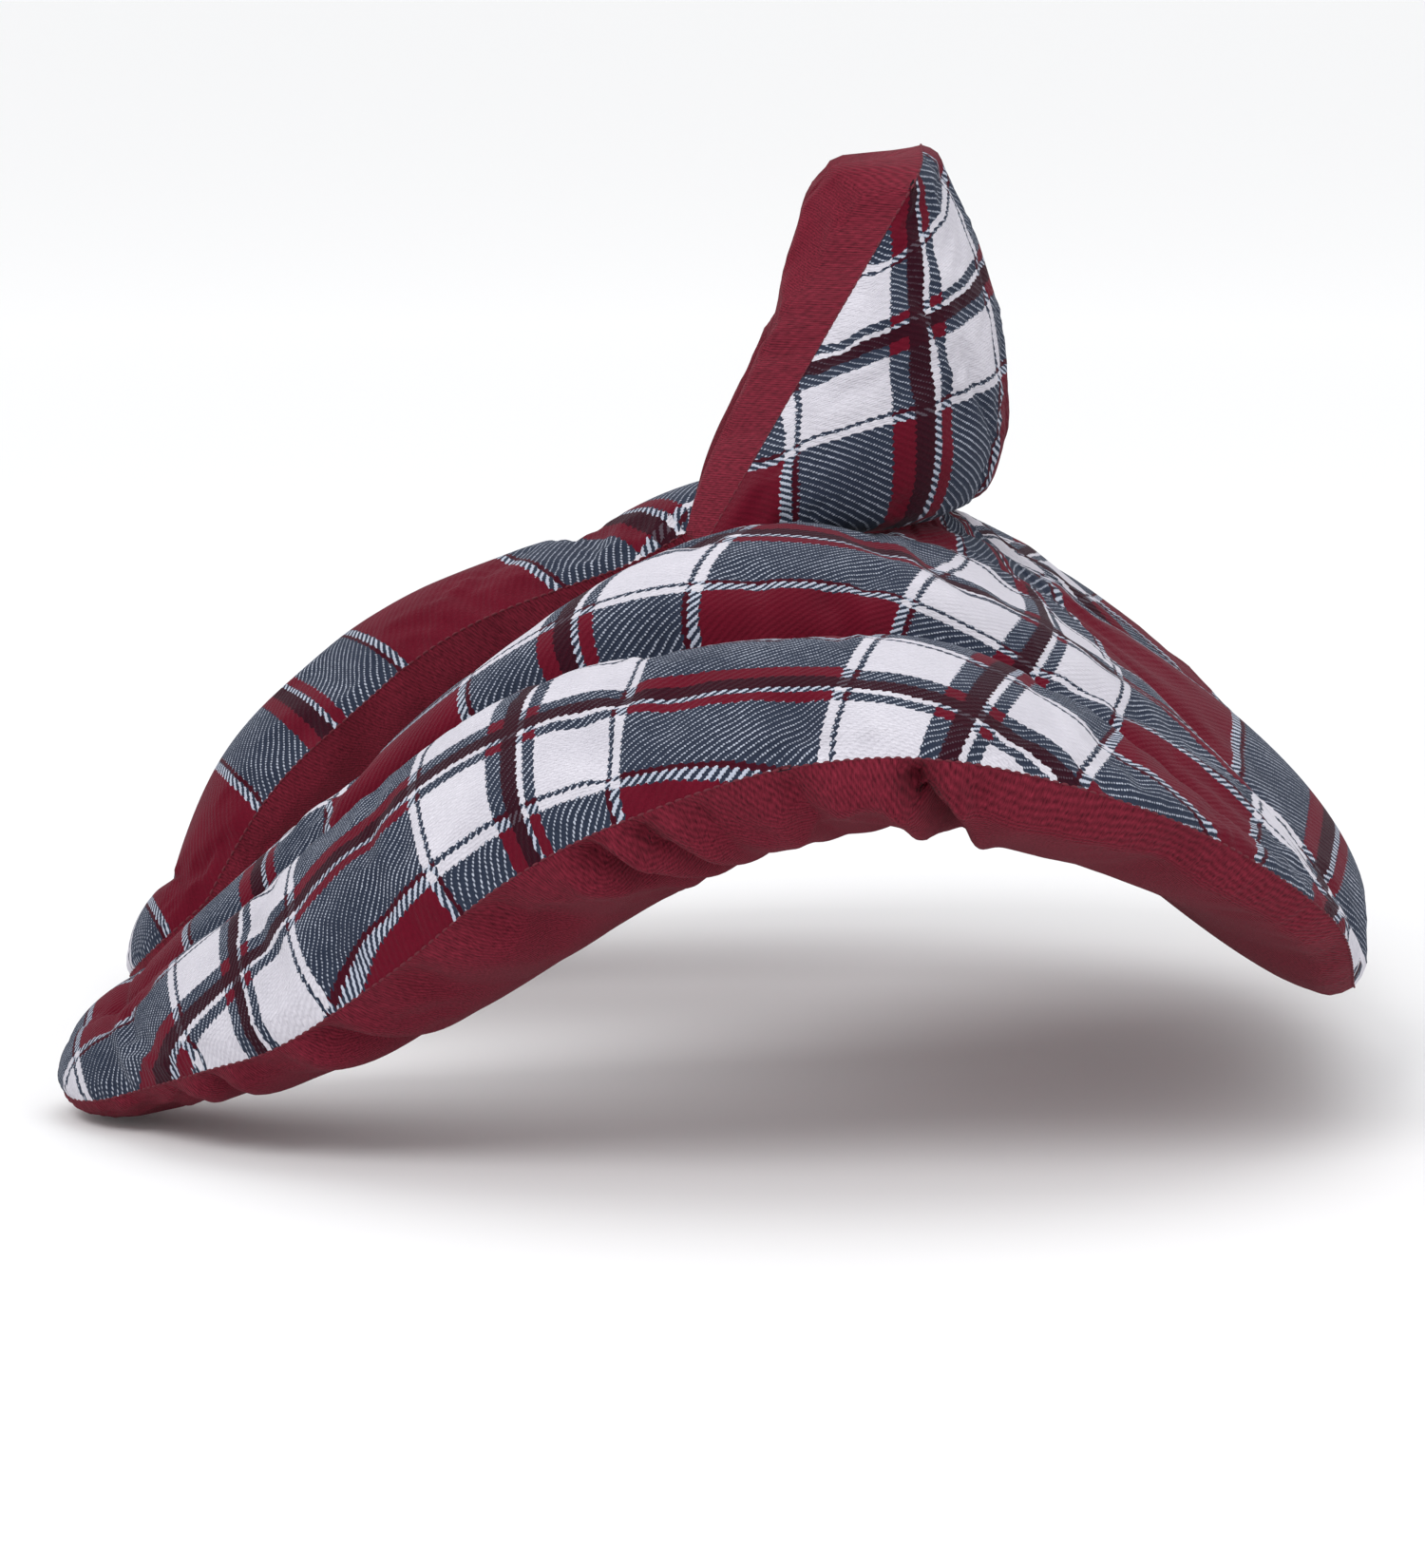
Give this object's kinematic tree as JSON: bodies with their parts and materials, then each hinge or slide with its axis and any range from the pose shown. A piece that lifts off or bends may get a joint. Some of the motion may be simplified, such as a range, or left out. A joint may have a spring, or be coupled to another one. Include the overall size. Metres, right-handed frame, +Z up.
{
  "type": "u shaped neck pillow",
  "caption": "Padded U shaped pillow that lies over the shoulders, with two front arms and a stand-up collar behind the neck.",
  "frame": {"origin": "middle of the neck opening, at the height of the neckline seam", "axes": "+X to the wearer's left, -Y to the wearer's front, +Z up"},
  "size_m": [0.432, 0.4222, 0.3016],
  "materials": {
    "tartan_flannel": "brushed flannel, tartan of burgundy, slate and white",
    "burgundy_twill": "fine plain twill",
    "filling": "loose fibre filling",
    "burgundy_thread": "sewing thread"
  },
  "bodies": {
    "yoke": {"yoke_top_panel": "tartan_flannel", "yoke_under_panel": "burgundy_twill", "yoke_fill": "filling", "yoke_edge_thread": "burgundy_thread", "neckline_thread": "burgundy_thread"},
    "left_arm": {"left_arm_top_panel": "tartan_flannel", "left_arm_under_panel": "burgundy_twill", "left_arm_fill": "filling", "left_arm_edge_thread": "burgundy_thread"},
    "right_arm": {"right_arm_top_panel": "tartan_flannel", "right_arm_under_panel": "burgundy_twill", "right_arm_fill": "filling", "right_arm_edge_thread": "burgundy_thread"},
    "collar": {"collar_outer_panel": "tartan_flannel", "collar_inner_panel": "burgundy_twill", "collar_fill": "filling", "collar_edge_thread": "burgundy_thread"}
  },
  "joints": [
    {"name": "left_arm_bend", "type": "hinge", "parent": "yoke", "child": "left_arm", "pos_m": [0.1454, -0.0629, -0.0193], "axis": [-0.9266, 0.1146, 0.3583], "range_deg": [-8, 45]},
    {"name": "right_arm_bend", "type": "hinge", "parent": "yoke", "child": "right_arm", "pos_m": [-0.1454, -0.0629, -0.0193], "axis": [-0.9266, -0.1146, -0.3583], "range_deg": [-8, 45]},
    {"name": "collar_fold", "type": "hinge", "parent": "yoke", "child": "collar", "pos_m": [0, 0.054, 0.004], "axis": [-1, 0, 0], "range_deg": [0, 40]}
  ]
}
